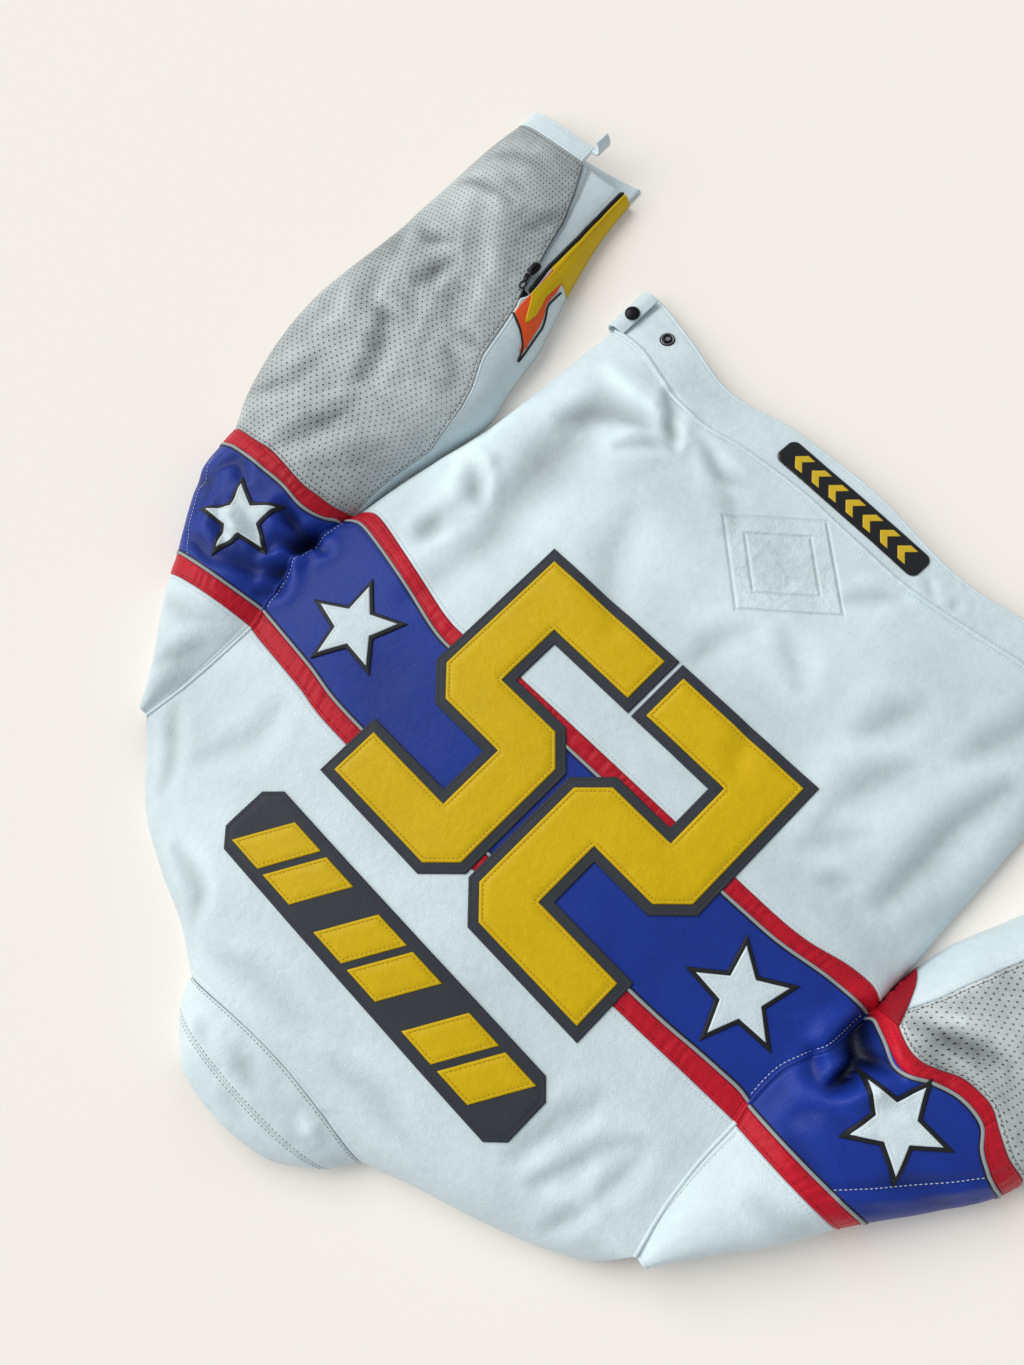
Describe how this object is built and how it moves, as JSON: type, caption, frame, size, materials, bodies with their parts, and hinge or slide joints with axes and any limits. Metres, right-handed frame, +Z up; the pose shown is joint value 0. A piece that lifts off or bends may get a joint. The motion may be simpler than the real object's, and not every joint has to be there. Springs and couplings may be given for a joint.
{
  "type": "motorcycle jacket",
  "caption": "Leather motorcycle jacket laid flat on its front, back uppermost, with a striped band with stars across back and sleeves, a block number and an open zipped cuff.",
  "frame": {"origin": "middle of the jacket's outline, on the surface that it lies on", "axes": "+X the wearer's right and the longest way, across both sleeves, +Y toward the collar, +Z up, from the front to the back of the jacket"},
  "size_m": [1.012, 0.7813, 0.0525],
  "materials": {
    "white_leather": "white grained cowhide, satin",
    "blue_leather": "blue grained cowhide, satin",
    "red_leather": "red cowhide strip, satin",
    "grey_leather": "silver-grey perforated leather",
    "dark_leather": "dark grey textured leather",
    "yellow_leather": "yellow grained leather",
    "orange_leather": "orange leather",
    "black_gloss": "glossy moulded label",
    "zip_tape": "woven zip tape with dark teeth",
    "black_metal": "dark enamelled metal"
  },
  "bodies": {
    "root": {"back_band": "blue_leather", "back_lower": "white_leather", "back_strip_hem": "red_leather", "back_strip_neck": "red_leather", "back_waistband": "white_leather", "back_yoke": "white_leather", "collar_front_left": "white_leather", "collar_front_right": "white_leather", "collar_lower": "white_leather", "collar_upper": "white_leather", "cuff_gusset": "white_leather", "cuff_left": "white_leather", "cuff_right": "white_leather", "cuff_slider": "black_metal", "cuff_tab": "white_leather", "cuff_zip": "zip_tape", "flame_inner": "yellow_leather", "flame_outer": "orange_leather", "forearm_left": "grey_leather", "forearm_right": "grey_leather", "front_left": "white_leather", "front_right": "white_leather", "front_slider": "black_metal", "front_waistband_left": "white_leather", "front_waistband_right": "white_leather", "front_zip": "zip_tape", "hem_patch": "black_gloss", "nape_bar_1": "yellow_leather", "nape_bar_2": "yellow_leather", "nape_bar_3": "yellow_leather", "nape_panel": "dark_leather", "number_left": "yellow_leather", "number_left_backing": "dark_leather", "number_right": "yellow_leather", "number_right_backing": "dark_leather", "sleeve_band_left": "blue_leather", "sleeve_band_right": "blue_leather", "sleeve_cap_left": "white_leather", "sleeve_cap_right": "white_leather", "sleeve_front_left": "white_leather", "sleeve_front_right": "white_leather", "sleeve_strip_hem_left": "red_leather", "sleeve_strip_hem_right": "red_leather", "sleeve_strip_neck_left": "red_leather", "sleeve_strip_neck_right": "red_leather", "sleeve_under_left": "white_leather", "sleeve_under_right": "white_leather", "snap_cap": "black_metal", "snap_stud": "black_metal", "star_1": "white_leather", "star_1_backing": "dark_leather", "star_2": "white_leather", "star_2_backing": "dark_leather", "star_3": "white_leather", "star_3_backing": "dark_leather", "star_4": "white_leather", "star_4_backing": "dark_leather", "waist_tab": "white_leather"},
    "cuff_pull": {"cuff_pull": "black_metal"},
    "front_pull": {"front_pull": "black_metal"}
  },
  "joints": [
    {"name": "cuff_pull_swing", "type": "hinge", "parent": "root", "child": "cuff_pull", "pos_m": [0.36676, -0.24324, 0.03717], "axis": [0.9389, 0.3442, 0], "range_deg": [0, 90]},
    {"name": "front_pull_swing", "type": "hinge", "parent": "root", "child": "front_pull", "pos_m": [0.044, 0.3691, 0.0013], "axis": [-1, 0, 0], "range_deg": [0, 100]}
  ]
}
